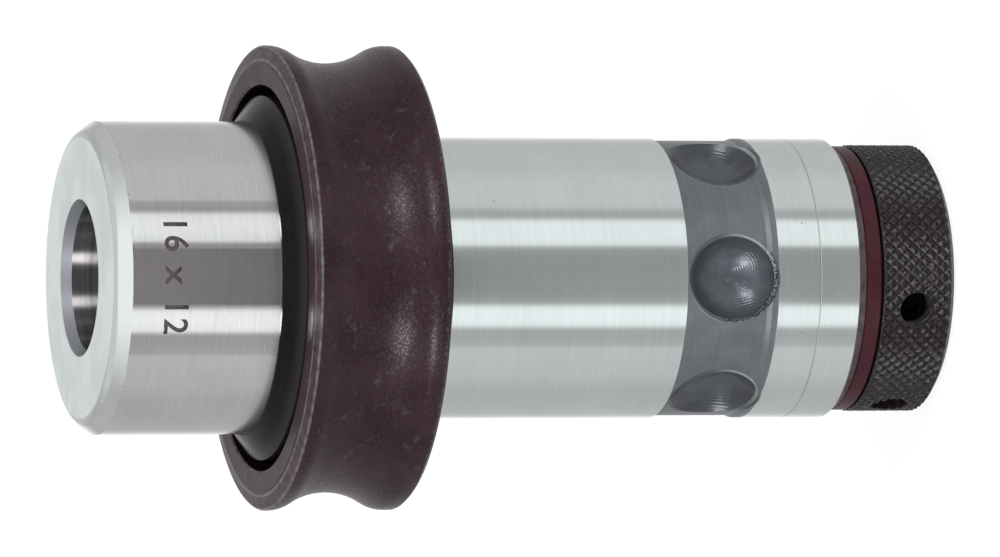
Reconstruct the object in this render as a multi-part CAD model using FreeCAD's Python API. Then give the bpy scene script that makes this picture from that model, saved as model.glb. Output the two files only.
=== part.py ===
import FreeCAD, Part
import math
import os

os.makedirs("parts", exist_ok=True)

# Quick change tap adapter with a friction clutch, standing on its adjusting nut.
# Z is the axis, up towards the nose that holds the tap. All sizes are in millimetres.

# Clearances shared by all pieces.
running = 0.04
face_gap = 0.05
ring_gap = 0.3

# Shank: the hardened sleeve that the machine's chuck takes hold of.
shank_d = 31.0
shank_length = 47.0
shank_wall = 3.1
shank_edge = 0.25
line_height = 4.7
line_width = 0.14
line_depth = 0.06

# Band with the ball pockets, turned a little below the ground diameter.
band_depth = 0.25
band_top = 20.02
band_foot = 10.75
band_ramp = 0.5
pocket_count = 6
pocket_height = 14.7
pocket_d = 10.1
pocket_rim = 0.3
pocket_depth = 2.6
pocket_land = 0.45

# Spindle: nose, neck under the release ring, and the stem inside the shank, each with its
# wall around the tap's shank or its step down from the journal above.
nose_wall = 9.17
nose_front = 18.4
nose_chamfer_length = 1.74
nose_chamfer_width = 1.27
nose_edge = 0.7
neck_wall = 6.3
stem_wall = 3.0
tail_step = 1.0
thread_step = 1.0
thread_pitch = 1.5
thread_end_chamfer = 0.9
thread_runout = 0.3

# Seat of the tap: round shank, square and the way through.
tap_mouth_length = 1.1
tap_mouth_width = 0.6
bore_below_balls = 4.5
square_inset = 3.9
square_corner_gap = 0.2
square_depth = 14.0
through_d = 8.5
through_chamfer = 0.6

# Bushes that carry the shank on the stem.
front_bush_wall = 1.36
bush_gap = 2.5
bush_seat_land = 0.95
bush_inset = 0.4
stem_step_gap = 1.2

# Clutch: front and rear linings, disc springs and tabbed washer.
front_lining_thickness = 0.7
front_lining_overhang = 0.6
rear_lining_thickness = 1.7
chamber_wall = 2.3
disc_spring_count = 3
disc_spring_plate = 1.0
disc_spring_rise = 0.6
thrust_washer_thickness = 1.2
tab_width = 2.2
tab_depth = 1.2

# Adjusting nut with its lock screws and spanner holes, and the two rings above it.
nut_inset = 0.67
nut_height = 8.44
nut_chamfer_length = 0.76
nut_chamfer_width = 1.2
nut_top_edge = 0.2
nut_turn_down = 0.5
lock_height = 4.5
lock_angle = -13.7
spanner_angle = -73.7
screw_d = 4.0
screw_length = 2.0
screw_socket = 2.0
screw_socket_depth = 1.2
pad_d = 3.2
pad_length = 1.2
spanner_hole_depth = 4.2
seal_gap = 0.22
seal_inset = 0.8
seal_thickness = 1.84
seal_edge = 0.18
washer_inset = 0.75
washer_thickness = 0.8
washer_edge = 0.08

# Snap ring that stops the release ring.
stop_lip = 0.6
stop_thickness = 1.1
stop_overhang = 2.9
stop_groove_depth = 0.8
stop_opening = 30.0

# Release ring with its finger groove, and the balls that it wedges.
ring_wall = 4.33
ring_length = 15.05
ring_travel = 2.5
ring_web = 6.85
recess_gap = 1.2
recess_edge = 0.2
ring_face_inset = 2.1
ring_face_drop = 0.35
ring_corner = 0.2
ring_foot_chamfer = 0.35
groove_height = 7.61
groove_depth = 1.95
groove_radius = 9.25
crest_radius = 2.95
ball_d = 6.6
ball_height = 3.55
ball_count = 3
wedge_slope = 0.3
wedge_relief = 0.14

# Conical collar on the nose, its wire ring, and the return spring.
spring_space = 6.5
collar_height = 3.5
collar_overhang = 2.85
collar_rim_height = 1.5
collar_rim_edge = 0.3
collar_land = 0.15
nose_gap = 1.4
wire_d = 1.2
wire_height = 1.0
wire_opening = 15.0
spring_wire_d = 1.2
spring_turns = 2.2
spring_side_gap = 0.72

# Radii, from the shank inwards to the tap, which comes out at 16 mm, and out again to the ring.
shank_r = shank_d / 2
shank_bore_r = shank_r - shank_wall
band_r = shank_r - band_depth
chamber_r = shank_r - chamber_wall
nut_r = shank_r - nut_inset
pocket_r = pocket_d / 2
stem_r = shank_bore_r - front_bush_wall - running
tail_r = stem_r - tail_step
thread_r = tail_r - thread_step
tap_r = stem_r - stem_wall
neck_r = tap_r + neck_wall
nose_r = tap_r + nose_wall
stop_r = neck_r + stop_overhang
ball_r = ball_d / 2
collar_r = nose_r + collar_overhang
recess_r = collar_r + recess_gap
ring_r = recess_r + ring_wall
wire_r = wire_d / 2
spring_wire_r = spring_wire_d / 2

# Heights of the nut end, from the nut's face up to the foot of the shank.
seal_z = nut_height + seal_gap
washer_z = seal_z + seal_thickness
shank_z = washer_z + washer_thickness
shank_top = shank_z + shank_length

# The clutch stack hangs down from the shoulder below the pockets and sets the nut's spigot.
pocket_z = shank_z + pocket_height
chamber_top = pocket_z - pocket_r - pocket_land
rear_lining_z = chamber_top - face_gap - rear_lining_thickness
disc_spring_height = disc_spring_plate + disc_spring_rise
disc_springs_z = rear_lining_z - face_gap - disc_spring_count * disc_spring_height
thrust_washer_z = disc_springs_z - face_gap - thrust_washer_thickness
spigot_top = thrust_washer_z - face_gap
thread_top = spigot_top + thread_runout
nut_travel = nut_turn_down * thread_pitch

# Two bushes of the same length share the bore above the pockets; the stem steps up between them.
rear_bush_z = pocket_z + pocket_r + bush_seat_land
front_bush_top = shank_top - bush_inset
bush_length = (front_bush_top - rear_bush_z - bush_gap) / 2
front_bush_z = front_bush_top - bush_length
stem_step_z = rear_bush_z + bush_length + stem_step_gap

# Neck, stop and release ring above the shank.
neck_z = shank_top + front_lining_thickness + 2 * face_gap
stop_groove_z = neck_z + stop_lip
stop_z = stop_groove_z + face_gap
stop_groove_top = stop_z + stop_thickness + face_gap
ring_z = stop_groove_top + face_gap
ring_top = ring_z + ring_length
web_top = ring_z + ring_web
ball_z = ring_z + ball_height
nose_z = web_top + ring_travel + nose_gap
collar_z = web_top + spring_space
collar_top = collar_z + collar_height
nose_top = collar_top + nose_front

# Tap seat, measured down from the balls.
bore_floor = ball_z - bore_below_balls
square_floor = bore_floor - square_depth

# The wedge in the release ring: a cone that opens downwards around the balls.
ball_orbit = tap_r + running + ball_r
cone_stretch = math.sqrt(1 + wedge_slope ** 2)
wedge_r_at_ball = ball_orbit + (ball_r + face_gap) * cone_stretch
guide_r = neck_r + running
wedge_top = ball_z + (wedge_r_at_ball - guide_r) / wedge_slope
wedge_r_max = wedge_r_at_ball + wedge_slope * ring_travel + wedge_relief
wedge_foot = ball_z - (wedge_r_max - wedge_r_at_ball) / wedge_slope


def turned(*steps):
    """Solid of revolution about Z. A step is (r, z) for a straight run to that point,
    or (r, z, r, z) for an arc through the first point to the second."""
    edges = []
    here = FreeCAD.Vector(steps[0][0], 0, steps[0][1])
    for step in steps[1:] + steps[:1]:
        there = FreeCAD.Vector(step[-2], 0, step[-1])
        if here.distanceToPoint(there) < 1e-6:
            continue
        if len(step) == 4:
            through = FreeCAD.Vector(step[0], 0, step[1])
            edges.append(Part.Arc(here, through, there).toShape())
        else:
            edges.append(Part.LineSegment(here, there).toShape())
        here = there
    face = Part.Face(Part.Wire(edges))
    return face.revolve(FreeCAD.Vector(0, 0, 0), FreeCAD.Vector(0, 0, 1), 360)


def tube(outer_r, inner_r, z, height, edge=0.0):
    """Ring with the outer edges broken by a small chamfer."""
    top = z + height
    return turned((inner_r, z), (outer_r - edge, z), (outer_r, z + edge), (outer_r, top - edge),
                  (outer_r - edge, top), (inner_r, top))


def rod(radius, z, height):
    return Part.makeCylinder(radius, height, FreeCAD.Vector(0, 0, z))


def aimed(shape, angle, height):
    """Turn a piece made along +Z so that it points straight out from the axis.
    The angle is counted from the front, -Y, towards +X."""
    shape = shape.copy()
    shape.rotate(FreeCAD.Vector(0, 0, 0), FreeCAD.Vector(0, 1, 0), 90)
    shape.rotate(FreeCAD.Vector(0, 0, 0), FreeCAD.Vector(0, 0, 1), angle - 90)
    shape.translate(FreeCAD.Vector(0, 0, height))
    return shape


def hexagon(flats, z, height):
    corner_r = flats / math.sqrt(3)
    corners = []
    for side in range(7):
        turn = math.radians(60 * side)
        corners.append(FreeCAD.Vector(corner_r * math.cos(turn), corner_r * math.sin(turn), z))
    return Part.Face(Part.makePolygon(corners)).extrude(FreeCAD.Vector(0, 0, height))


def wedge_of_ring(angle, reach, z, height):
    """Sector that opens a snap ring or a wire ring, centred on the front."""
    half = math.radians(angle / 2)
    corners = [FreeCAD.Vector(0, 0, z)]
    for side in (-half, half):
        corners.append(FreeCAD.Vector(reach * math.sin(side), -reach * math.cos(side), z))
    face = Part.Face(Part.makePolygon(corners + corners[:1]))
    return face.extrude(FreeCAD.Vector(0, 0, height))


def make_spindle():
    face_r = nose_r - nose_chamfer_width
    half_bend = math.atan2(nose_chamfer_length, nose_chamfer_width) / 2
    edge_r = nose_edge / math.tan(half_bend)
    sagitta = edge_r * (1 / math.cos(half_bend) - 1)
    slope = math.hypot(nose_chamfer_length, nose_chamfer_width)
    body = turned(
        (0, 0), (thread_r - thread_end_chamfer, 0), (thread_r, thread_end_chamfer),
        (thread_r, thread_top), (tail_r, thread_top), (tail_r, stem_step_z),
        (stem_r, stem_step_z), (stem_r, neck_z), (neck_r, neck_z),
        (neck_r, stop_groove_z), (neck_r - stop_groove_depth, stop_groove_z),
        (neck_r - stop_groove_depth, stop_groove_top), (neck_r, stop_groove_top),
        (neck_r, nose_z), (nose_r, nose_z),
        (nose_r, nose_top - nose_chamfer_length),
        (face_r + nose_edge * nose_chamfer_width / slope,
         nose_top - nose_edge * nose_chamfer_length / slope),
        (face_r - sagitta * math.sin(half_bend), nose_top - sagitta * math.cos(half_bend),
         face_r - nose_edge, nose_top),
        (0, nose_top))
    seat = turned(
        (0, bore_floor), (tap_r, bore_floor), (tap_r, nose_top - tap_mouth_length),
        (tap_r + tap_mouth_width, nose_top), (0, nose_top))
    flats = 2 * tap_r - square_inset
    square = Part.makeBox(flats, flats, square_depth,
                          FreeCAD.Vector(-flats / 2, -flats / 2, square_floor))
    square = square.common(rod(tap_r + square_corner_gap, square_floor, square_depth))
    way_r = through_d / 2
    way = turned((0, 0), (way_r + through_chamfer, 0), (way_r, through_chamfer),
                 (way_r, square_floor), (0, square_floor))
    wire_groove = Part.makeTorus(nose_r, wire_r + face_gap / 2,
                                 FreeCAD.Vector(0, 0, collar_z + wire_height))
    keyway = tab(running + face_gap, thrust_washer_z - nut_travel - tab_width / 3,
                 thrust_washer_z + thrust_washer_thickness + tab_width / 3)
    body = body.cut(seat).cut(square).cut(way).cut(wire_groove).cut(keyway)
    ball_hole = rod(ball_r + face_gap, tap_r / 2, neck_r)
    for index in range(ball_count):
        body = body.cut(aimed(ball_hole, 360 * index / ball_count, ball_z))
    return body


def tab(allowance, low, high):
    """Tongue of the thrust washer, and with an allowance its keyway in the stem."""
    width = tab_width + 2 * allowance
    floor_r = tail_r - tab_depth - allowance
    return Part.makeBox(tab_depth + 1.0, width, high - low, FreeCAD.Vector(floor_r, -width / 2, low))


def make_shank():
    foot = shank_z + band_foot
    body = turned(
        (chamber_r, shank_z), (shank_r - shank_edge, shank_z), (shank_r, shank_z + shank_edge),
        (shank_r, shank_z + line_height - line_width / 2),
        (shank_r - line_depth, shank_z + line_height),
        (shank_r, shank_z + line_height + line_width / 2),
        (shank_r, foot - band_ramp), (band_r, foot), (band_r, shank_z + band_top),
        (shank_r, shank_z + band_top), (shank_r, shank_top - shank_edge),
        (shank_r - shank_edge, shank_top), (shank_bore_r, shank_top),
        (shank_bore_r, rear_bush_z), (tail_r + ring_gap, rear_bush_z),
        (tail_r + ring_gap, chamber_top), (chamber_r, chamber_top))
    bowl_edge = pocket_r - pocket_rim
    bottom = band_r - pocket_depth
    rise = pocket_depth - pocket_rim
    bowl_r = (bowl_edge ** 2 + rise ** 2) / (2 * rise)
    bowl_mid = math.asin(bowl_edge / bowl_r) / 2
    centre = bottom + bowl_r
    pocket = turned(
        (0, bottom),
        (bowl_r * math.sin(bowl_mid), centre - bowl_r * math.cos(bowl_mid), bowl_edge, bottom + rise),
        (pocket_r, band_r), (pocket_r, shank_r + pocket_rim), (0, shank_r + pocket_rim))
    for index in range(pocket_count):
        body = body.cut(aimed(pocket, 360 * index / pocket_count, pocket_z))
    return body


def make_adjusting_nut():
    spigot_r = chamber_r - 2 * ring_gap
    bore_r = thread_r + running
    body = turned(
        (bore_r + thread_end_chamfer, 0), (nut_r - nut_chamfer_width, 0),
        (nut_r, nut_chamfer_length), (nut_r, nut_height - nut_top_edge),
        (nut_r - nut_top_edge, nut_height), (spigot_r, nut_height), (spigot_r, spigot_top),
        (bore_r, spigot_top), (bore_r, thread_end_chamfer))
    screw_hole = rod(screw_d / 2, 0, nut_r + 1)
    spanner_hole = rod(screw_d / 2, nut_r - spanner_hole_depth, spanner_hole_depth + 1)
    for side in (0, 180):
        body = body.cut(aimed(screw_hole, lock_angle + side, lock_height))
        body = body.cut(aimed(spanner_hole, spanner_angle + side, lock_height))
    return body


def make_lock_pad():
    return rod(pad_d / 2, thread_r + face_gap, pad_length)


def make_lock_screw():
    foot = thread_r + 2 * face_gap + pad_length
    body = rod(screw_d / 2 - face_gap, foot, screw_length)
    socket = hexagon(screw_socket, foot + screw_length - screw_socket_depth, screw_socket_depth)
    return body.cut(socket)


def make_thrust_washer():
    low = thrust_washer_z
    high = low + thrust_washer_thickness
    body = tube(chamber_r - ring_gap, tail_r + running, low, thrust_washer_thickness)
    return body.fuse(tab(0, low, high)).removeSplitter()


def make_disc_spring(index):
    """Conical spring plate; every second plate stands the other way up."""
    inner_r = tail_r + ring_gap
    outer_r = chamber_r - ring_gap
    low = disc_springs_z + index * disc_spring_height
    at_inner = 0 if index % 2 == 0 else disc_spring_rise
    at_outer = disc_spring_rise - at_inner
    return turned((inner_r, low + at_inner), (outer_r, low + at_outer),
                  (outer_r, low + at_outer + disc_spring_plate),
                  (inner_r, low + at_inner + disc_spring_plate))


def make_ring_stop():
    """Snap ring in the neck's groove, open at the front."""
    inner_r = neck_r - stop_groove_depth + face_gap
    ring = tube(stop_r, inner_r, stop_z, stop_thickness)
    return ring.cut(wedge_of_ring(stop_opening, 2 * stop_r, stop_z, stop_thickness))


def make_release_ring():
    """Grip ring: wedge and guide below, open recess around the collar above."""
    middle = ring_z + groove_height
    groove_centre = ring_r - groove_depth + groove_radius
    crest_centre = ring_r - crest_radius
    reach = groove_radius + crest_radius
    crest_offset = math.sqrt(reach ** 2 - (groove_centre - crest_centre) ** 2)
    share = groove_radius / reach
    meet_r = groove_centre - (groove_centre - crest_centre) * share
    meet_z = crest_offset * share
    half_turn = math.acos((groove_centre - crest_centre) / reach)
    half_crest = half_turn / 2
    bulge_r = crest_centre + crest_radius * math.cos(half_crest)
    bulge_z = crest_offset - crest_radius * math.sin(half_crest)
    return turned(
        (wedge_r_max, ring_z), (ring_r - ring_foot_chamfer, ring_z),
        (ring_r, ring_z + ring_foot_chamfer), (ring_r, middle - crest_offset),
        (bulge_r, middle - bulge_z, meet_r, middle - meet_z),
        (ring_r - groove_depth, middle, meet_r, middle + meet_z),
        (bulge_r, middle + bulge_z, ring_r, middle + crest_offset),
        (ring_r, ring_top - ring_face_drop - ring_corner),
        (ring_r - ring_corner, ring_top - ring_face_drop), (ring_r - ring_face_inset, ring_top),
        (recess_r + recess_edge, ring_top), (recess_r, ring_top - recess_edge),
        (recess_r, web_top), (guide_r, web_top), (guide_r, wedge_top), (wedge_r_max, wedge_foot))


def make_ball(index):
    ball = Part.makeSphere(ball_r, FreeCAD.Vector(0, 0, ball_orbit))
    return aimed(ball, 360 * index / ball_count, ball_z)


def make_spring_collar():
    """Conical collar that the return spring pushes up against the wire ring."""
    bore_r = nose_r + running
    pocket_of_wire = nose_r + wire_r + 2 * face_gap
    wire_roof = collar_z + wire_height + wire_r + face_gap
    rim_z = collar_z + collar_rim_height
    return turned(
        (pocket_of_wire, collar_z), (collar_r - collar_rim_edge, collar_z),
        (collar_r, collar_z + collar_rim_edge), (collar_r, rim_z),
        (bore_r + collar_land, collar_top), (bore_r, collar_top), (bore_r, wire_roof),
        (pocket_of_wire, wire_roof))


def make_collar_wire():
    """Round wire ring in the nose's groove, open at the front."""
    height = collar_z + wire_height
    ring = Part.makeTorus(nose_r, wire_r, FreeCAD.Vector(0, 0, height))
    return ring.cut(wedge_of_ring(wire_opening, 2 * nose_r, height - wire_d, 2 * wire_d))


def make_ring_spring():
    """Return spring between the release ring's web and the collar."""
    coil_r = collar_r - spring_side_gap
    low = web_top + spring_wire_r + face_gap
    rise = spring_space - spring_wire_d - 2 * face_gap
    path = Part.makeHelix(rise / spring_turns, rise, coil_r)
    path.translate(FreeCAD.Vector(0, 0, low))
    section = Part.Wire(Part.makeCircle(spring_wire_r, FreeCAD.Vector(coil_r, 0, low),
                                        FreeCAD.Vector(0, 1, 0)))
    return Part.Wire(path).makePipeShell([section], True, True)


def save(name, shape):
    shape.exportStep("parts/" + name + ".step")


seal_bore_r = chamber_r - ring_gap
save("spindle", make_spindle())
save("shank_sleeve", make_shank())
save("rear_bush", tube(shank_bore_r, tail_r + running, rear_bush_z, bush_length))
save("front_bush", tube(shank_bore_r, stem_r + running, front_bush_z, bush_length))
save("front_lining", tube(neck_r + front_lining_overhang, stem_r + ring_gap,
                          shank_top + face_gap, front_lining_thickness))
save("rear_lining", tube(chamber_r - face_gap, tail_r + ring_gap,
                         rear_lining_z, rear_lining_thickness))
save("thrust_washer", make_thrust_washer())
save("adjusting_nut", make_adjusting_nut())
save("dust_seal", tube(shank_r - seal_inset, seal_bore_r, seal_z, seal_thickness, seal_edge))
save("end_washer", tube(shank_r - washer_inset, seal_bore_r, washer_z, washer_thickness, washer_edge))
save("ring_stop", make_ring_stop())
save("release_ring", make_release_ring())
save("spring_collar", make_spring_collar())
save("collar_wire", make_collar_wire())
save("ring_spring", make_ring_spring())
for number in range(disc_spring_count):
    save("disc_spring_%d" % (number + 1), make_disc_spring(number))
for number in range(ball_count):
    save("locking_ball_%d" % (number + 1), make_ball(number))
for number, side in enumerate((0, 180)):
    save("lock_pad_%d" % (number + 1), aimed(make_lock_pad(), lock_angle + side, lock_height))
    save("lock_screw_%d" % (number + 1), aimed(make_lock_screw(), lock_angle + side, lock_height))
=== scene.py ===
import bmesh
import bpy
import math

from mathutils import Matrix, Vector


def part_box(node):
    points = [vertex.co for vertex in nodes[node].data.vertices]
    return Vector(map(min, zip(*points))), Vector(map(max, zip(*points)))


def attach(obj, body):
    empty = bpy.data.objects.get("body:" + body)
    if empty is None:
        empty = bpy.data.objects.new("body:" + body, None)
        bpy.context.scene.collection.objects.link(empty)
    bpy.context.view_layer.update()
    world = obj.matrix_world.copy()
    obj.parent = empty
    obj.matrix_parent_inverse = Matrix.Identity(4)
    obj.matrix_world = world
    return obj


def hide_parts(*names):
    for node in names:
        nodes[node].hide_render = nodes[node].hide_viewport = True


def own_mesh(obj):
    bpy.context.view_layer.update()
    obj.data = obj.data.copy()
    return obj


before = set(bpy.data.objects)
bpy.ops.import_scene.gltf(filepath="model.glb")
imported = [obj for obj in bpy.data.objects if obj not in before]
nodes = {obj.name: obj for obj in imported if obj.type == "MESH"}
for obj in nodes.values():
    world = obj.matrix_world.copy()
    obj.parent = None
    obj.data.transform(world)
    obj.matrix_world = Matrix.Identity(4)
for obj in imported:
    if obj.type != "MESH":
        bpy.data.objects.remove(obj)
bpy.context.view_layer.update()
mm = 0.001


# Spindle: the core of the adapter, turned from one bar, hardened and ground. Only its nose
# shows, with the chamfered rim, the face and the bore for the tap's shank.
class Field:
    """A value that varies over a surface: one output socket in a material's node tree."""

    def __init__(self, tree, socket):
        self.tree = tree
        self.socket = socket

    def node(self, kind, settings=None, inputs=None, out=0):
        """Any node, from its type, its settings, and the values or links of its sockets."""
        made = self.tree.nodes.new(kind)
        for name, value in (settings or {}).items():
            setattr(made, name, value)
        for key, value in (inputs or {}).items():
            if isinstance(value, Field):
                self.tree.links.new(value.socket, made.inputs[key])
            else:
                made.inputs[key].default_value = value
        return Field(self.tree, made.outputs[out])

    def math(self, operation, *others):
        """One step of arithmetic: this value first, then the others."""
        return self.node("ShaderNodeMath", {"operation": operation},
                         dict(enumerate((self, *others))))

    def __add__(self, other):
        return self.math("ADD", other)

    def __sub__(self, other):
        return self.math("SUBTRACT", other)

    def __rsub__(self, other):
        return self.node("ShaderNodeMath", {"operation": "SUBTRACT"}, {0: other, 1: self})

    def __mul__(self, other):
        return self.math("MULTIPLY", other)

    def __pow__(self, other):
        return self.math("POWER", other)

    __radd__ = __add__
    __rmul__ = __mul__

    def rise(self, low, high):
        """0 below low, 1 above high, and a smooth step between."""
        return self.node("ShaderNodeMapRange", {"interpolation_type": "SMOOTHSTEP"},
                         {"Value": self, "From Min": low, "From Max": high})

    def fall(self, low, high):
        """1 below low, 0 above high, and a smooth step between."""
        return 1.0 - self.rise(low, high)

    def part(self, axis):
        """One coordinate of a place: 0, 1 or 2."""
        return self.node("ShaderNodeSeparateXYZ", None, {0: self}, axis)

    def stretch(self, x, y, z):
        """A place with each coordinate multiplied."""
        return self.node("ShaderNodeVectorMath", {"operation": "MULTIPLY"}, {0: self, 1: (x, y, z)})

    def noise(self, scale, detail=2.0, roughness=0.5):
        return self.node("ShaderNodeTexNoise", None,
                         {"Vector": self, "Scale": scale, "Detail": detail, "Roughness": roughness})

    def mix(self, low, high):
        """The colour low where this is 0, and high where it is 1."""
        low, high = [c if isinstance(c, Field) else (*c, 1.0) for c in (low, high)]
        return self.node("ShaderNodeMix", {"data_type": "RGBA"}, {0: self, 6: low, 7: high}, 2)

    def bump(self, height, strength=1.0):
        """Normal of a surface that this value lifts, by at most height in metres."""
        return self.node("ShaderNodeBump", None,
                         {"Height": self, "Distance": height, "Strength": strength})


class Finish:
    """A material: its Principled shader, and its coordinates in millimetres."""

    def __init__(self, name, **constants):
        self.material = bpy.data.materials.new(name)
        self.material.use_nodes = True
        tree = self.material.node_tree
        self.shader = tree.nodes["Principled BSDF"]
        for socket, value in constants.items():
            self.shader.inputs[socket.replace("_", " ")].default_value = value
        place = tree.nodes.new("ShaderNodeTexCoord")
        place = Field(tree, place.outputs["Object"])
        self.place = place.stretch(1 / mm, 1 / mm, 1 / mm)
        self.z = self.place.part(2)
        flat = self.place.stretch(1, 1, 0)
        self.r = flat.node("ShaderNodeVectorMath", {"operation": "LENGTH"}, {0: flat}, 1)

    def set(self, **fields):
        """Link these fields to the shader's sockets of the same names."""
        for socket, field in fields.items():
            into = self.shader.inputs[socket.replace("_", " ")]
            self.shader.id_data.links.new(field.socket, into)

    def turned(self, across, along):
        """Fine lines that run round the axis: along is their number in a millimetre."""
        return self.place.stretch(across, across, along).noise(1.0, 3.0, 0.6)


def linked(name, mesh, *materials):
    """A piece of this scene, from its mesh and its materials."""
    mesh.materials.clear()
    for material in materials:
        mesh.materials.append(material)
    piece = bpy.data.objects.new(name, mesh)
    bpy.context.scene.collection.objects.link(piece)
    return piece


nose_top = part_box("spindle")[1][2] / mm
nose_r = 17.17
chamfer_length = 1.74
chamfer_edge = 0.04
corner_z = nose_top - chamfer_length
nick_reach = (0.06, 0.20)
face_skin = (0.030, 0.005)
tap_r = 8.0
mouth_r = tap_r + 0.60
mouth_edge = 0.04
mouth_depth = (1.15, 1.05)
bore_floor_z = 60.0
bore_below_floor = 0.5
bore_below_face = 0.9
bore_slack = 0.02
barrel_slack = 0.05
ground_lift = 0.0012
face_ring_lift = 0.004
steel_dark = (0.47, 0.47, 0.465)
steel_light = (0.55, 0.555, 0.54)
scratch_bright = (0.72, 0.72, 0.72)
nick_dark = (0.16, 0.15, 0.15)
face_low = (0.68, 0.76, 0.745)
face_grey = (0.80, 0.88, 0.865)
chamfer_grey = (0.58, 0.61, 0.605)
mouth_shade_grey = (0.235, 0.24, 0.26)
bore_shade_low = (0.190, 0.182, 0.188)
bore_shade_high = (0.275, 0.265, 0.272)


def ground_skin(finish):
    """Grinding lines and their streaks, cloudy patches, a few light scratches and edge nicks."""
    lines = finish.turned(0.05, 14.0)
    streaks = finish.turned(0.10, 2.5)
    patches = finish.place.noise(0.16, 3.0)
    scratches = finish.place.stretch(0.35, 0.35, 9.0).noise(1.0, 1.0).rise(0.70, 0.76)
    shade = (lines * 0.15 + streaks * 0.50 + patches * 0.45).rise(0.20, 0.90)
    skin = (scratches * 0.5).mix(shade.mix(steel_dark, steel_light), scratch_bright)
    at_corner = (finish.z - corner_z).math("ABSOLUTE").fall(*nick_reach)
    nicks = at_corner * finish.place.noise(2.6, 2.0, 0.7).rise(0.60, 0.66)
    return lines, streaks, patches, (nicks * 0.7).mix(skin, nick_dark)


barrel = Finish("ground_barrel", Metallic=1.0, Anisotropic=1.0, Anisotropic_Rotation=0.25)
lines, streaks, patches, skin = ground_skin(barrel)
barrel.set(Base_Color=skin,
           Roughness=lines * 0.04 + 0.088,
           Normal=((lines * 0.5 + streaks * 0.5) * ground_lift).bump(mm))

ground = Finish("ground_nose", Metallic=1.0)
lines, streaks, patches, skin = ground_skin(ground)
on_face = ground.z.rise(nose_top - face_skin[0], nose_top - face_skin[1])
on_chamfer = ground.z.rise(corner_z, corner_z + chamfer_edge)
above_seat = ground.z.rise(nose_top - mouth_depth[0], nose_top - mouth_depth[1])
in_mouth = ground.r.fall(mouth_r, mouth_r + mouth_edge) * above_seat
face_rings = ground.r.node("ShaderNodeTexNoise", {"noise_dimensions": "1D"},
                           {"W": ground.r, "Scale": 7.0, "Detail": 3.0})
lift = (lines * 0.5 + streaks * 0.5) * ground_lift
lift = lift + on_face * (face_rings * face_ring_lift - lift)
face = patches.rise(0.35, 0.65).mix(face_low, face_grey)
skin = on_face.mix((on_chamfer * 0.7).mix(skin, chamfer_grey), face)
# The bore's mouth is drawn in a dark grey: painted shade at the lead-in of the bore.
ground.set(Base_Color=in_mouth.mix(skin, mouth_shade_grey),
           Roughness=on_face * 0.14 + in_mouth * 0.25 + lines * 0.05 + 0.09,
           Normal=lift.bump(mm))

# Honed bore: the rings are real honing marks, and its steel is drawn far darker than the nose's, as
# painted shade inside the bore.
honed = Finish("honed_bore", Metallic=1.0, Anisotropic=1.0, Anisotropic_Rotation=0.25)
rings = honed.turned(0.05, 2.0)
honed.set(Base_Color=rings.rise(0.3, 0.7).mix(bore_shade_low, bore_shade_high),
          Roughness=rings * 0.06 + 0.285)

spindle_mesh = nodes["spindle"].data.copy()
spindle = linked("ground_spindle", spindle_mesh, ground.material, honed.material, barrel.material)
for face in spindle_mesh.polygons:
    radius = math.hypot(face.center.x, face.center.y) / mm
    height = face.center.z / mm
    in_bore = bore_floor_z - bore_below_floor < height < nose_top - bore_below_face
    if in_bore and radius < tap_r + bore_slack:
        face.material_index = 1
    elif radius > nose_r - barrel_slack and height < corner_z:
        face.material_index = 2
    else:
        face.material_index = 0
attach(spindle, "root")
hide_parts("spindle")


# Size marks: plain numbers etched on the nose, the tap's shank and its square in
# millimetres. They read round the nose, a film that stands next to nothing proud.
mark_height = 2.7 * mm
capital_share = 0.72
mark_spacing = 1.15
mark_boldness = 0.05 * mm
flat_enough = 0.01
mark_z = 89.7 * mm
mark_angle = math.radians(1.0)
mark_proud = 0.012 * mm
mark_depth = 0.02 * mm
etched_dark = (0.028, 0.020, 0.024)
etched_light = (0.060, 0.048, 0.052)

etched = Finish("etched_marks", Roughness=0.6, Specular_IOR_Level=0.1)
etched.set(Base_Color=etched.place.noise(6.0, 2.0).rise(0.3, 0.7).mix(etched_dark, etched_light))

letters = bpy.data.curves.new("size_marks", "FONT")
letters.body = "16 x 12"
letters.size = mark_height / capital_share
letters.align_x = "CENTER"
letters.align_y = "CENTER"
letters.resolution_u = 4
letters.space_character = mark_spacing
letters.offset = mark_boldness
flat_marks = bpy.data.objects.new("size_marks_flat", letters)
bpy.context.scene.collection.objects.link(flat_marks)
bpy.context.view_layer.update()
marks_mesh = bpy.data.meshes.new_from_object(flat_marks)
bpy.data.objects.remove(flat_marks)


def wrapped(mesh, radius, angle, height, depth):
    """Close a flat drawing into a thin solid and wrap it round the nose, reading downwards."""
    drawing = bmesh.new()
    drawing.from_mesh(mesh)
    bmesh.ops.triangulate(drawing, faces=drawing.faces[:])
    bmesh.ops.dissolve_limit(drawing, angle_limit=flat_enough, verts=drawing.verts[:],
                             edges=drawing.edges[:])
    bmesh.ops.triangulate(drawing, faces=drawing.faces[:])
    sheet = bmesh.ops.extrude_face_region(drawing, geom=drawing.faces[:])
    raised = set(v for v in sheet["geom"] if isinstance(v, bmesh.types.BMVert))
    for vertex in drawing.verts:
        out = radius if vertex in raised else radius - depth
        turn = angle - vertex.co.x / radius
        vertex.co = Vector((out * math.sin(turn), -out * math.cos(turn), height - vertex.co.y))
    bmesh.ops.recalc_face_normals(drawing, faces=drawing.faces[:])
    drawing.to_mesh(mesh)
    drawing.free()


wrapped(marks_mesh, nose_r * mm + mark_proud, mark_angle, mark_z, mark_depth + mark_proud)
size_marks = linked("size_marks", marks_mesh, etched.material)
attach(size_marks, "root")


# Spring collar: a turned cone, blackened, that slides on the nose. The return spring
# pushes it up against a wire ring, and it fills the release ring's recess.
black_low = (0.0022, 0.0018, 0.0024)
black_high = (0.0040, 0.0036, 0.0045)
black_rim_sheen = (0.0120, 0.0105, 0.0120)
collar_sheen_r = (18.6, 20.0)
collar_lift = 0.002


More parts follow.
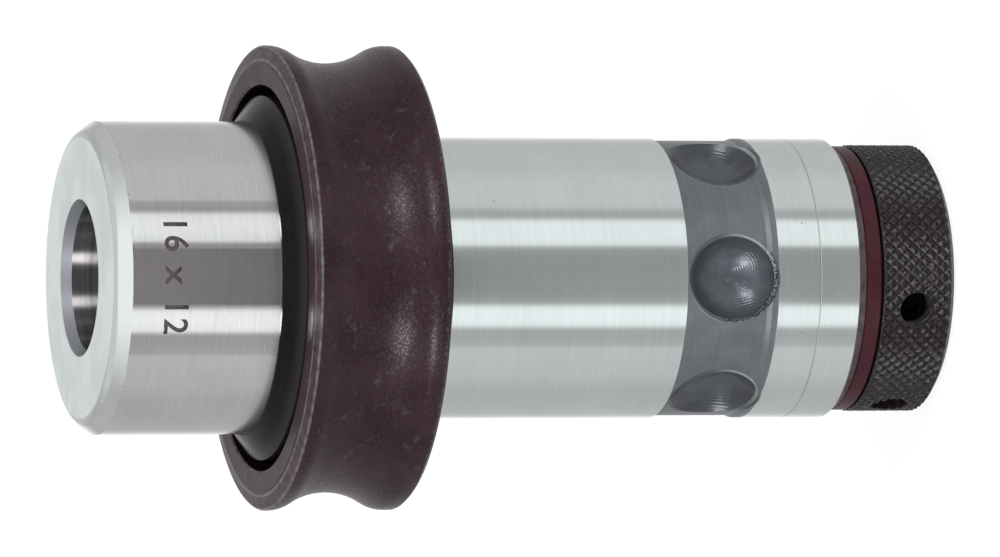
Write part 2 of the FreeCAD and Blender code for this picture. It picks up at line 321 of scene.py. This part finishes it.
def dress(finish, *names):
    """Give carried-over nodes their finish."""
    for name in names:
        mesh = nodes[name].data
        mesh.materials.clear()
        mesh.materials.append(finish.material)


collar = Finish("blackened_collar", Metallic=0.0, Specular_IOR_Level=0.07)
lines = collar.turned(0.05, 5.0)
patches = collar.place.noise(0.5, 3.0)
black = (lines * 0.5 + patches * 0.5).rise(0.3, 0.7).mix(black_low, black_high)
# The collar grows lighter towards its outer rim: a painted sheen on its flank.
collar.set(Base_Color=collar.r.rise(*collar_sheen_r).mix(black, black_rim_sheen),
           Roughness=patches * 0.12 + 0.18,
           Normal=(lines * collar_lift).bump(mm))
dress(collar, "spring_collar")


# Release ring: turned and browned steel, pulled towards the nose by its finger groove
# to free the tap. Its edges show wear and painted highlights, and the groove is speckled and
# scratched.
ring_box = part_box("release_ring")
ring_top = ring_box[1][2] / mm
ring_low = ring_box[0][2] / mm
ring_r = ring_box[1][0] / mm
recess_r = 21.22
face_circle = (ring_r - 1.6, ring_top - 0.08, 0.20)
crest_circle = (ring_r - 0.12, ring_top - 0.42, 0.24)
recess_circle = (recess_r + 0.1, ring_top - 0.1, 0.26)
foot_circle = (ring_r - 0.02, ring_low + 2.05, 0.16)
low_circle = (ring_r, ring_low + 0.4, 0.30)
bevel_r = (ring_r - 1.7, ring_r - 1.5)
bevel_z = (ring_top - 0.55, ring_top - 0.4)
glint_z = (ring_top - 0.7, ring_top - 0.4)
grain_lift = 0.0045
wear_sunk = 0.006
brown_dark = (0.0120, 0.0035, 0.0055)
brown_light = (0.0260, 0.0120, 0.0155)
brown_worn_sheen = (0.115, 0.108, 0.112)
brown_glint = (0.034, 0.031, 0.033)
tan_fleck = (0.22, 0.13, 0.08)

browned = Finish("browned_ring", Specular_IOR_Level=0.09)
grain = browned.place.noise(2.4, 5.0, 0.62)
clouds = browned.place.noise(0.16, 3.0)
lines = browned.turned(0.06, 3.0)
pits = browned.place.noise(4.5, 3.0, 0.7)
tone = (clouds * 0.55 + lines * 0.20 + grain * 0.30).rise(0.34, 0.72)
breaks = browned.place.noise(0.9, 4.0, 0.7).rise(0.38, 0.62)
crumbs = browned.place.noise(3.5, 3.0, 0.7).rise(0.50, 0.62)


def largest(first, *others):
    """The largest of several fields, place by place."""
    for other in others:
        first = first.math("MAXIMUM", other)
    return first


def worn_sheen_line(radius, height, half_width):
    """A line of wear and painted highlight round the ring: strongest on the circle of this radius
    and height.
    """
    across = browned.r - radius
    along = browned.z - height
    away = (across * across + along * along) ** 0.5
    return away.fall(half_width * 0.35, half_width)


# Edge lines: wear and painted highlights along the ring's edges and bevel; the scuffs and smudges
# are wear.
face_edge = worn_sheen_line(*face_circle) * (breaks * 0.6 + 0.3)
crest_edge = worn_sheen_line(*crest_circle) * (breaks * 0.6 + 0.3)
bevel = browned.r.rise(*bevel_r) * browned.z.rise(*bevel_z) * breaks * 0.16
recess_edge = worn_sheen_line(*recess_circle) * breaks * 0.6
foot_edge = worn_sheen_line(*foot_circle) * (breaks * 0.9) * crumbs
low_edge = worn_sheen_line(*low_circle) * crumbs * 0.35
scuffs = browned.place.stretch(0.5, 0.5, 3.0).noise(1.0, 3.0, 0.7).rise(0.67, 0.72) * 0.45
smudges = browned.place.noise(0.45, 5.0, 0.7).rise(0.57, 0.70) * 0.20
worn_and_sheen = largest(face_edge, crest_edge, bevel, recess_edge, foot_edge, low_edge, scuffs, smudges)
flecks = browned.place.noise(1.1, 2.0, 0.6).rise(0.775, 0.79)
glints = browned.place.noise(3.6, 3.0, 0.75).rise(0.50, 0.60) * browned.z.fall(*glint_z) * 0.8
skin = glints.mix(tone.mix(brown_dark, brown_light), brown_glint)
height = grain * grain_lift + pits * grain_lift - worn_and_sheen * wear_sunk
browned.set(Base_Color=flecks.mix(worn_and_sheen.mix(skin, brown_worn_sheen), tan_fleck),
            Metallic=largest(worn_and_sheen * 0.5, glints),
            Roughness=grain * 0.24 + 0.22,
            Normal=height.bump(mm))
dress(browned, "release_ring")


# Shank sleeve: hardened and ground, with a band left dark from hardening. Six ball
# pockets are milled into the band, and one fine line is turned near the foot.
shank_r = 15.5
line_z = 16.0
line_half_width = (0.05, 0.14)
hardened_z = 20.85
band_step_r = shank_r - 0.18
band_step_width = 0.08
pocket_count = 6
pocket_z = 26.0
pocket_r = 5.05
bowl_edge = 4.75
bowl_floor_r = 2.2
bowl_side = (bowl_edge - 0.06, bowl_edge + 0.02)
rim_inside = (bowl_edge - 0.02, bowl_edge + 0.04)
rim_outside = (pocket_r - 0.02, pocket_r + 0.06)
lip_inside = (pocket_r - 0.06, pocket_r)
lip_outside = (pocket_r + 0.04, pocket_r + 0.10)
burr_inside = (bowl_edge - 0.30, bowl_edge)
burr_outside = (pocket_r + 0.02, pocket_r + 0.20)
dark_round_pocket = (pocket_r + 0.24, pocket_r + 0.36)
front_turn = (0.35, 0.60)
mill_lift = 0.008
scale_lift = 0.045
burr_lift = 0.06
chip_sunk = 0.05
tool_mark_pitch = 0.27
tool_mark_centre = (1.0, -0.4)
ground_dark = (0.522, 0.558, 0.552)
ground_light = (0.61, 0.652, 0.642)
dot_dark = (0.12, 0.11, 0.11)
line_grey = (0.30, 0.31, 0.305)
band_grey = (0.066, 0.075, 0.082)
band_light = (0.094, 0.106, 0.116)
bowl_shaded_grey = (0.034, 0.037, 0.045)
bowl_shaded_light = (0.060, 0.066, 0.077)
rim_shaded = (0.040, 0.044, 0.050)
rim_lit = (0.215, 0.235, 0.245)
lip_shaded = (0.030, 0.032, 0.036)
chip_black = (0.008, 0.008, 0.010)

shank = Finish("ground_shank")
lines = shank.turned(0.05, 14.0)
streaks = shank.turned(0.08, 2.2)
patches = shank.place.noise(0.14, 3.0)
shade = (lines * 0.20 + streaks * 0.38 + patches * 0.42).rise(0.22, 0.88)
dots = shank.place.noise(2.2, 1.0).rise(0.80, 0.83)
bright = (dots * 0.6).mix(shade.mix(ground_dark, ground_light), dot_dark)
foot_line = (shank.z - line_z).math("ABSOLUTE").fall(*line_half_width)
bright = (foot_line * 0.45).mix(bright, line_grey)

# Each pocket's own coordinates: across and up from its middle, and the reach out of it.
turn = shank.place.part(0).math("ARCTAN2", shank.place.part(1) * -1.0)
half_sector = math.pi / pocket_count
across = turn.math("WRAP", half_sector, -half_sector) * shank_r
up = shank.z - pocket_z
reach = (across * across + up * up) ** 0.5
in_bowl = reach.fall(*bowl_side)
on_rim = reach.rise(*rim_inside) * reach.fall(*rim_outside)

# Band: it ends in a wandering edge below and at the turned step above.
wander = shank.place.noise(1.2, 2.0)
below_step = (shank.r + wander * 0.04).fall(band_step_r, band_step_r + band_step_width)
hardened = (shank.z + wander * 0.10).rise(hardened_z, hardened_z + 0.10)
hardened = hardened * shank.z.fall(pocket_z, pocket_z + 0.2)
at_edge = (reach + wander * 0.1).fall(*dark_round_pocket)
on_band = largest(below_step, hardened, at_edge)
grime = shank.place.noise(0.35, 4.0)
brushed = shank.turned(0.06, 4.0)
band = (grime * 0.60 + brushed * 0.40).rise(0.28, 0.72).mix(band_grey, band_light)

# Bowl: darker than the band and darker still towards its edge, painted shade of the hollow, with
# the rings that the ball-ended mill left.
depth = reach.rise(bowl_floor_r, bowl_edge)
mottle = shank.place.noise(0.8, 3.0).rise(0.30, 0.70)
bowl = (mottle * 0.45 + 0.55 - depth * 0.75).rise(0.0, 1.0).mix(bowl_shaded_grey, bowl_shaded_light)
mark_across = across - tool_mark_centre[0]
mark_up = up - tool_mark_centre[1]
mark_reach = (mark_across * mark_across + mark_up * mark_up) ** 0.5
tool_marks = (mark_reach * (2 * math.pi / tool_mark_pitch)).math("SINE")
tool_marks = tool_marks * shank.place.noise(0.7, 3.0).rise(0.38, 0.58)

# Rim: a light crescent below and a dark lip, painted light and painted shade of the rim, a painted
# highlight on one side of the lip, and chips and a burr on the front pocket.
low_side = (across * -0.55 - up * 0.85).rise(0.6, 2.6)
in_front = 1.0 - turn.math("ABSOLUTE").rise(*front_turn) * 0.8
at_rim = reach.rise(*burr_inside) * reach.fall(*burr_outside) * in_front
chipped = shank.place.noise(4.2, 2.0, 0.7).rise(0.50, 0.58) * at_rim * low_side
burr = at_rim * low_side * shank.place.noise(4.0, 3.0, 0.7)
lit_crescent = (across * 0.6 - up * 0.8).rise(1.2, 4.8)
lip = reach.rise(*lip_inside) * reach.fall(*lip_outside) * 0.5
lip_lit_side = (across * -1.0 + up * 0.3).rise(1.5, 4.5)
dull = in_bowl.mix(band, bowl)
dull = (on_rim * 0.85).mix(dull, lit_crescent.mix(rim_shaded, rim_lit))
dull = lip.mix(dull, lip_lit_side.mix(lip_shaded, rim_lit))
dull = chipped.mix(dull, chip_black)

lift = (lines * 0.5 + streaks * 0.5) * ground_lift
bowl_lift = tool_marks * mill_lift + shank.place.noise(1.0, 4.0) * scale_lift
height = lift + in_bowl * (bowl_lift - lift) + burr * burr_lift - chipped * chip_sunk
shank.set(Base_Color=on_band.mix(bright, dull),
          Metallic=1.0 - on_band * 0.55,
          Roughness=lines * 0.05 + 0.10 + on_band * (0.26 - in_bowl * 0.05),
          Normal=height.bump(mm))
dress(shank, "shank_sleeve")


# End washer and thrust washer: plain turned steel rings, brown with oil and handling. One
# lies under the shank's foot, and the other is keyed to the stem above the nut.
tarnish_dark = (0.036, 0.024, 0.027)
tarnish_light = (0.072, 0.054, 0.057)

tarnished = Finish("tarnished_washer", Metallic=0.6, Roughness=0.42)
stain = tarnished.place.noise(0.8, 3.0).rise(0.3, 0.7)
tarnished.set(Base_Color=stain.mix(tarnish_dark, tarnish_light))
dress(tarnished, "end_washer", "thrust_washer")


# Dust seal: a pressed ring of dark red fibre. It lies against the end washer, in the joint
# between the nut and the shank, which turns when the clutch slips.
fibre_dark = (0.021, 0.0035, 0.0065)
fibre_light = (0.037, 0.0065, 0.011)
fibre_lift = 0.004

red = Finish("red_fibre", Roughness=0.42, Specular_IOR_Level=0.15)
fibres = red.place.noise(2.2, 4.0, 0.6)
dye = fibres * 0.6 + red.place.noise(0.3, 2.0) * 0.4
red.set(Base_Color=dye.rise(0.3, 0.7).mix(fibre_dark, fibre_light),
        Normal=(fibres * fibre_lift).bump(mm))
dress(red, "dust_seal")


# Adjusting nut: blackened steel with a rolled diamond knurl, chamfered after knurling.
# It sets the clutch; two tapped holes take the lock screws and two a pin spanner.
nut_r = 14.83
nut_height = 8.44
nut_chamfer_length = 0.76
nut_chamfer_width = 1.2
nut_top_edge = 0.2
nut_bore_r = 9.04
nut_bore_chamfer = 0.9
spigot_r = 12.6
spigot_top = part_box("adjusting_nut")[1][2] / mm
knurl_count = 70
knurl_depth = 0.21
knurl_land = 0.66
knurl_steps = 5
least_step = 0.05
hole_r = 2.0
hole_z = 4.5
tapped_angles = (-13.7, 166.3)
spanner_angles = (-73.7, 106.3)
tapped_floor_r = nut_bore_r - 1.0
spanner_floor_r = nut_r - 4.2
knurl_tip_r = (14.66, 14.80)
hole_sides = 48
cutter_past = 2.0
wear_lift = 0.014
grit_lift = 0.030
nut_dark = (0.0042, 0.0022, 0.0040)
nut_light = (0.0115, 0.0068, 0.0105)
spark_grey = (0.12, 0.11, 0.115)

blackened = Finish("blackened_nut", Specular_IOR_Level=0.24)
wear = blackened.place.noise(1.4, 4.0, 0.6)
grit = blackened.place.noise(3.4, 2.0, 0.6)
tips = blackened.r.rise(*knurl_tip_r)
sparks = blackened.place.noise(2.4, 1.0).rise(0.56, 0.66) * tips
skin = wear.rise(0.35, 0.75).mix(nut_dark, nut_light)
blackened.set(Base_Color=(sparks * 0.5).mix(skin, spark_grey),
              Metallic=sparks * 0.4,
              Roughness=wear * 0.25 + 0.27,
              Normal=(wear * wear_lift + grit * grit_lift).bump(mm))


def knurl_height(u, v):
    """0 in the crossed grooves, 1 on the diamonds' flat tops; u and v count half pitches."""
    rising = abs((u + v) % 2 - 1)
    falling = abs((u - v) % 2 - 1)
    return min(min(rising, falling) / knurl_land, 1.0)


def nut_mesh():
    """One closed skin: down the bore, round the end face, up the knurl and over the spigot."""
    half_pitch = math.pi * nut_r / knurl_count
    rows = round((nut_height - 2 * nut_top_edge) / half_pitch)
    columns = 2 * knurl_count * knurl_steps
    knurl_low = (nut_height - rows * half_pitch) / 2
    steps = [knurl_low + step * half_pitch / knurl_steps for step in range(rows * knurl_steps + 1)]
    inner = [z for z in steps if least_step < z < nut_height - least_step]
    vertices = []
    faces = []

    def ring(radius_of, z):
        start = len(vertices)
        for column in range(columns):
            turn = 2 * math.pi * column / columns
            radius = radius_of(column)
            vertices.append((radius * math.sin(turn) * mm, -radius * math.cos(turn) * mm, z * mm))
        return start

    def shell(z):
        limit = nut_r
        if z < nut_chamfer_length:
            limit = nut_r - nut_chamfer_width * (1 - z / nut_chamfer_length)
        if z > nut_height - nut_top_edge:
            limit = nut_r - (z - nut_height + nut_top_edge)
        v = (z - knurl_low) / half_pitch

        def radius(column):
            u = column / knurl_steps
            return min(limit, nut_r - knurl_depth * (1 - knurl_height(u, v)))
        return radius

    def plain(radius):
        return lambda column: radius

    rings = [ring(plain(nut_bore_r), spigot_top), ring(plain(nut_bore_r), nut_bore_chamfer),
             ring(plain(nut_bore_r + nut_bore_chamfer), 0.0)]
    rows_of = [None, None, None]
    for z in (0.0, *inner, nut_height):
        rings.append(ring(shell(z), z))
        rows_of.append(math.floor((z - knurl_low) / half_pitch + 0.001))
    rows_of[-1] = None
    rings += [ring(plain(spigot_r), nut_height), ring(plain(spigot_r), spigot_top), rings[0]]
    rows_of += [None, None]
    for low, high, row in zip(rings, rings[1:], rows_of):
        for column in range(columns):
            after = (column + 1) % columns
            a, b, c, d = low + column, low + after, high + after, high + column
            if row is None:
                faces.append((a, b, c, d))
            elif (column // knurl_steps + row) % 2 == 0:
                faces += [(a, b, d), (b, c, d)]
            else:
                faces += [(a, b, c), (a, c, d)]
    mesh = bpy.data.meshes.new("adjusting_nut_knurled")
    mesh.from_pydata(vertices, [], faces)
    mesh.update()
    return mesh


def outward(angle, height):
    """Turn what points along +Z straight out of the axis, at that angle from the front."""
    sideways = Matrix.Rotation(math.radians(90), 4, "Y")
    around = Matrix.Rotation(math.radians(angle - 90), 4, "Z")
    return Matrix.Translation((0, 0, height)) @ around @ sideways


def drilled(piece, holes):
    """Cut the radial holes: each has its angle, and reaches in to its own radius."""
    cutters = bmesh.new()
    for angle, floor_r in holes:
        length = (nut_r + cutter_past - floor_r) * mm
        spot = outward(angle, hole_z * mm) @ Matrix.Translation((0, 0, floor_r * mm + length / 2))
        bmesh.ops.create_cone(cutters, cap_ends=True, segments=hole_sides, radius1=hole_r * mm,
                              radius2=hole_r * mm, depth=length, matrix=spot)
    cutter_mesh = bpy.data.meshes.new("hole_cutter")
    cutters.to_mesh(cutter_mesh)
    cutters.free()
    cutter = linked("hole_cutter", cutter_mesh)
    cut = piece.modifiers.new("holes", "BOOLEAN")
    cut.operation = "DIFFERENCE"
    cut.solver = "EXACT"
    cut.object = cutter
    bpy.context.view_layer.update()
    seen = piece.evaluated_get(bpy.context.evaluated_depsgraph_get())
    done = bpy.data.meshes.new_from_object(seen)
    piece.modifiers.remove(cut)
    piece.data = done
    bpy.data.objects.remove(cutter)


nut = linked("adjusting_nut_knurled", nut_mesh(), blackened.material)
holes = [(angle, tapped_floor_r) for angle in tapped_angles]
holes += [(angle, spanner_floor_r) for angle in spanner_angles]
drilled(nut, holes)
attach(nut, "nut")
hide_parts("adjusting_nut")


# Threads of the two tapped holes: cut helices of 0.8 mm pitch in the nut's own steel. They
# are seen at the holes' mouths and end at the lock screws.
thread_pitch = 0.8
thread_root_r = 2.02
thread_wall = 0.03
thread_crest_r = 1.74
thread_top = nut_r - 0.12
thread_foot = 12.4
thread_sides = 40
thread_steps = 8
thread_dark = (0.010, 0.009, 0.010)
thread_light = (0.030, 0.027, 0.027)

rubbed = Finish("rubbed_thread", Roughness=0.22, Specular_IOR_Level=0.7)
rubbed.set(Base_Color=rubbed.place.noise(3.0, 2.0).rise(0.3, 0.7).mix(thread_dark, thread_light))


def hole_thread(name, angle, finish):
    """A thin closed sleeve in a radial hole, with the thread on its inside."""
    steps = int((thread_top - thread_foot) / thread_pitch * thread_steps)
    root_r = thread_root_r - thread_wall
    vertices = []
    faces = []
    for step in range(steps + 1):
        out = thread_foot + (thread_top - thread_foot) * step / steps
        fade = min(1.0, (thread_top - out) / thread_pitch)
        for side in range(thread_sides):
            turn = 2 * math.pi * side / thread_sides
            phase = (out / thread_pitch - side / thread_sides) % 1.0
            radius = root_r - (root_r - thread_crest_r) * fade * (1 - abs(2 * phase - 1))
            vertices.append((radius * math.cos(turn), radius * math.sin(turn), out))
    inner_count = len(vertices)
    for out in (thread_foot, thread_top):
        for side in range(thread_sides):
            turn = 2 * math.pi * side / thread_sides
            x, y = thread_root_r * math.cos(turn), thread_root_r * math.sin(turn)
            vertices.append((x, y, out))
    for side in range(thread_sides):
        after = (side + 1) % thread_sides
        for step in range(steps):
            low, high = step * thread_sides, (step + 1) * thread_sides
            faces.append((low + side, high + side, high + after, low + after))
        low, high = inner_count, inner_count + thread_sides
        faces.append((low + side, low + after, high + after, high + side))
        faces.append((side, after, low + after, low + side))
        top = steps * thread_sides
        faces.append((top + side, high + side, high + after, top + after))
    spot = outward(angle, hole_z * mm)
    mesh = bpy.data.meshes.new(name)
    mesh.from_pydata([spot @ (Vector(v) * mm) for v in vertices], [], faces)
    mesh.update()
    piece = linked(name, mesh, finish.material)
    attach(piece, "nut")


for number, angle in enumerate(tapped_angles):
    hole_thread("tapped_thread_%d" % (number + 1), angle, rubbed)


# Lock screws and pads: blackened steel socket screws, screwed into the nut's tapped holes.
# They press short pads of brass rod on the stem's thread, so that the thread isn't marked.
screw_dark = (0.0006, 0.0005, 0.0006)
screw_light = (0.0016, 0.0012, 0.0015)
brass_dark = (0.45, 0.30, 0.10)
brass_light = (0.62, 0.44, 0.17)

screw = Finish("screw_black", Roughness=0.6, Specular_IOR_Level=0.02)
screw.set(Base_Color=screw.place.noise(3.0, 2.0).rise(0.3, 0.7).mix(screw_dark, screw_light))
dress(screw, "lock_screw_1", "lock_screw_2")

brass = Finish("pad_brass", Metallic=1.0, Roughness=0.35)
brass.set(Base_Color=brass.place.noise(2.0, 2.0).rise(0.3, 0.7).mix(brass_dark, brass_light))
dress(brass, "lock_pad_1", "lock_pad_2")


# Bushes: two plain rings turned from bearing bronze and pressed into the shank's bore, one
# at each end. They carry the shank on the stem while the clutch slips.
bronze_dark = (0.36, 0.20, 0.08)
bronze_light = (0.52, 0.31, 0.13)

bronze = Finish("bush_bronze", Metallic=1.0, Roughness=0.32)
bronze.set(Base_Color=bronze.turned(0.1, 3.0).rise(0.3, 0.7).mix(bronze_dark, bronze_light))
dress(bronze, "rear_bush", "front_bush")


# Clutch linings: rings of pressed friction material, dark red-brown with mineral flecks. One
# lies above the shank and one in its chamber, and the disc springs press on both.
lining_dark = (0.045, 0.020, 0.018)
lining_fleck = (0.13, 0.08, 0.07)
fleck_height = 0.02 * mm

lining = Finish("friction_lining", Roughness=0.75)
flecks = lining.place.noise(5.0, 3.0, 0.7)
lining.set(Base_Color=flecks.rise(0.45, 0.75).mix(lining_dark, lining_fleck),
           Normal=flecks.bump(fleck_height, 0.4))
dress(lining, "front_lining", "rear_lining")


# Disc springs, snap ring and wire ring: tempered spring steel, blued a little by the heat.
# The disc springs load the clutch, and the two rings snap into grooves of the spindle.
blued_dark = (0.16, 0.16, 0.18)
blued_light = (0.30, 0.30, 0.31)

tempered = Finish("spring_steel", Metallic=1.0)
tint = tempered.place.noise(0.9, 3.0)
tempered.set(Base_Color=tint.rise(0.3, 0.7).mix(blued_dark, blued_light),
             Roughness=tint * 0.15 + 0.25)
dress(tempered, "collar_wire", "ring_stop", "disc_spring_1", "disc_spring_2", "disc_spring_3")


coil = linked("return_coil", nodes["ring_spring"].data.copy(), tempered.material)
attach(coil, "root")
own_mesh(coil)
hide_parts("ring_spring")


# Locking balls: three lapped bearing balls of chrome steel in the neck's radial holes. The
# release ring wedges them inwards onto the tap's shank.
ball_dark = (0.55, 0.55, 0.56)
ball_light = (0.64, 0.64, 0.65)

lapped = Finish("ball_steel", Metallic=1.0)
lapped.set(Base_Color=lapped.place.noise(0.8, 2.0).rise(0.3, 0.7).mix(ball_dark, ball_light),
           Roughness=lapped.place.noise(2.0, 2.0) * 0.08 + 0.05)
dress(lapped, "locking_ball_1", "locking_ball_2", "locking_ball_3")


# Studio: pale floor, a light tent with two tall bright windows, a dim card close to the
# part, and three soft lamps. Angles run round the axis from the front, -Y, towards +X.
white = 0.88
floor_half = 30.0
floor_grey = (0.9, 0.9, 0.9, 1)
floor_glow = 0.90
backdrop_white = (0.985, 1.0, 0.995, 1)
tent_radius = 1.0
tent_low = -1.2
tent_high = 3.0
tent_panels = 180
tent_stops = ((-180, 1.02), (-170, 0.96), (-150, 0.68), (-110, 0.69), (-80, 0.82), (-60, 0.86),
              (-56, 0.66), (-43, 0.60), (-38, 1.42), (-25, 1.46), (-20, 0.56), (-12, 0.50),
              (14, 0.48), (24, 0.50), (28, 1.33), (46, 1.33), (51, 0.58), (56, 0.60),
              (60, 0.88), (80, 0.88), (110, 0.78), (150, 0.70), (170, 0.96), (180, 1.02))
cloth_white = (1.0, 1.0, 1.0)
window_white = (0.975, 1.0, 1.01)
window_levels = (0.9, 1.3)
back_angles = (140, 165)
back_z = (0.0, 0.2)
back_dimmed = 0.26
roof_z = (0.72, 1.10)
roof_level = 0.92
roof_front_angles = (40, 100)
roof_front = 0.50
card_left = -0.105
card_right = 0.115
card_y = -0.30
card_low = -0.018
card_high = 0.20
card_fade = (-0.0075, 0.0045)
card_glow = 0.40
card_tint = (1.0, 0.93, 0.97, 1)
lamp_distance = 0.9
lamps = (("lamp_right", 38, 17, 0.26, 4.0),
         ("lamp_left", -32, 17, 0.26, 5.0),
         ("lamp_top", 0, 86, 0.60, 4.5))


def cloth(name):
    """An empty material, with its tree, its surface socket and one light of its own."""
    material = bpy.data.materials.new(name)
    material.use_nodes = True
    tree = material.node_tree
    tree.nodes.clear()
    surface = tree.nodes.new("ShaderNodeOutputMaterial").inputs["Surface"]
    return material, tree, surface, tree.nodes.new("ShaderNodeEmission")


def background_seen(tree):
    """1 for the rays that show the background: the camera's, and those by way of gloss or glass."""
    path = tree.nodes.new("ShaderNodeLightPath")
    rays = ("Is Camera Ray", "Is Glossy Ray", "Is Transmission Ray")
    return largest(*[Field(tree, path.outputs[ray]) for ray in rays])


def floor_material():
    """Pale floor: white as the camera sees it, and still darker in the object's shadow."""
    material, tree, surface, glow = cloth("pale_floor")
    paint = tree.nodes.new("ShaderNodeBsdfDiffuse")
    paint.inputs["Color"].default_value = floor_grey
    blend = tree.nodes.new("ShaderNodeMixShader")
    seen = background_seen(tree) * floor_glow
    tree.links.new(seen.socket, blend.inputs[0])
    tree.links.new(paint.outputs[0], blend.inputs[1])
    tree.links.new(glow.outputs[0], blend.inputs[2])
    tree.links.new(blend.outputs[0], surface)
    return material


def tent_material():
    """Light through cloth: the brightness follows the angle round the object."""
    material, tree, surface, glow = cloth("tent_cloth")
    place = Field(tree, tree.nodes.new("ShaderNodeNewGeometry").outputs["Position"])
    height = place.part(2)
    turn = place.part(0).math("ARCTAN2", place.part(1) * -1.0) * (180 / math.pi)
    aside = turn.math("ABSOLUTE")
    level = turn * 0.0 + tent_stops[0][1]
    for (angle, value), (later, next_value) in zip(tent_stops, tent_stops[1:]):
        level = level + turn.rise(angle, later) * (next_value - value)
    behind = aside.rise(*back_angles) * height.rise(*back_z)
    level = level * (1.0 - behind * back_dimmed)
    roof = aside.fall(*roof_front_angles) * roof_front + roof_level
    level = level + height.rise(*roof_z) * (roof - level)
    tint = level.rise(*window_levels).mix(cloth_white, window_white)
    tree.links.new(tint.socket, glow.inputs["Color"])
    tree.links.new(level.socket, glow.inputs["Strength"])
    tree.links.new(glow.outputs[0], surface)
    return material


def card_material():
    """A dim card, which fades in above its lower edge."""
    material, tree, surface, glow = cloth("dark_card")
    glow.inputs["Color"].default_value = card_tint
    place = Field(tree, tree.nodes.new("ShaderNodeNewGeometry").outputs["Position"])
    strength = place.part(2).rise(*card_fade) * card_glow
    tree.links.new(strength.socket, glow.inputs["Strength"])
    tree.links.new(glow.outputs[0], surface)
    return material


def panel(name, corners, material):
    """One flat four-sided panel."""
    mesh = bpy.data.meshes.new(name)
    mesh.from_pydata(corners, [], [(0, 1, 2, 3)])
    return linked(name, mesh, material)


floor = panel("floor", [(-floor_half, -floor_half, 0), (floor_half, -floor_half, 0),
                        (floor_half, floor_half, 0), (-floor_half, floor_half, 0)],
              floor_material())
floor.visible_glossy = False
floor.visible_shadow = False

tent_mesh = bpy.data.meshes.new("tent")
vertices = []
for step in range(tent_panels + 1):
    turn = math.radians(tent_stops[0][0] + 360 * step / tent_panels)
    for level in (tent_low, tent_high):
        vertices.append((tent_radius * math.sin(turn), -tent_radius * math.cos(turn), level))
faces = [(n, n + 1, n + 3, n + 2) for n in range(0, 2 * tent_panels, 2)]
faces.append(tuple(range(1, 2 * tent_panels, 2)))
tent_mesh.from_pydata(vertices, [], faces)
tent = linked("tent", tent_mesh, tent_material())
tent.visible_camera = False
tent.visible_shadow = False

card = panel("dark_card", [(card_left, card_y, card_low), (card_right, card_y, card_low),
                           (card_right, card_y, card_high), (card_left, card_y, card_high)],
             card_material())
card.visible_camera = False
card.visible_diffuse = False
card.visible_shadow = False

target = Vector((0, 0, 0.05))
for name, angle, lift, size, power in lamps:
    lamp = bpy.data.lights.new(name, "AREA")
    lamp.shape = "DISK"
    lamp.size = size
    lamp.energy = power
    holder = bpy.data.objects.new(name, lamp)
    bpy.context.scene.collection.objects.link(holder)
    around = math.radians(angle)
    above = math.radians(lift)
    level = math.cos(above)
    away = Vector((math.sin(around) * level, -math.cos(around) * level, math.sin(above)))
    holder.location = target + away * lamp_distance
    holder.rotation_euler = (target - holder.location).to_track_quat("-Z", "Y").to_euler()
    holder.visible_glossy = name != "lamp_top"

world = bpy.data.worlds.new("studio")
bpy.context.scene.world = world
world.use_nodes = True
tree = world.node_tree
background = tree.nodes["Background"]
strength = background_seen(tree) * (1.0 - white) + white
tree.links.new(strength.socket, background.inputs["Strength"])
background.inputs["Color"].default_value = backdrop_white


# Camera: as in the photograph, level with the middle of the part and a little above it on the
# nose side, rolled so that the standing adapter lies across the frame with its nose to the left.
tilt = math.radians(16.19)
distance = 1.2046
aim = Vector((-0.00006, 0, 0.04833))
backward = Vector((0, -math.cos(tilt), math.sin(tilt)))
across = Vector((0, -math.sin(tilt), -math.cos(tilt)))
upward = Vector((1, 0, 0))
rolled = Matrix((across, upward, backward)).transposed().to_4x4()
lens = bpy.data.cameras.new("camera")
lens.sensor_width = 36.0
lens.lens = 392.4
lens.clip_start = 0.05
lens.clip_end = 100.0
camera = bpy.data.objects.new("camera", lens)
bpy.context.scene.collection.objects.link(camera)
camera.matrix_world = Matrix.Translation(aim + backward * distance) @ rolled
bpy.context.scene.camera = camera
bpy.context.scene.view_settings.view_transform = "Standard"
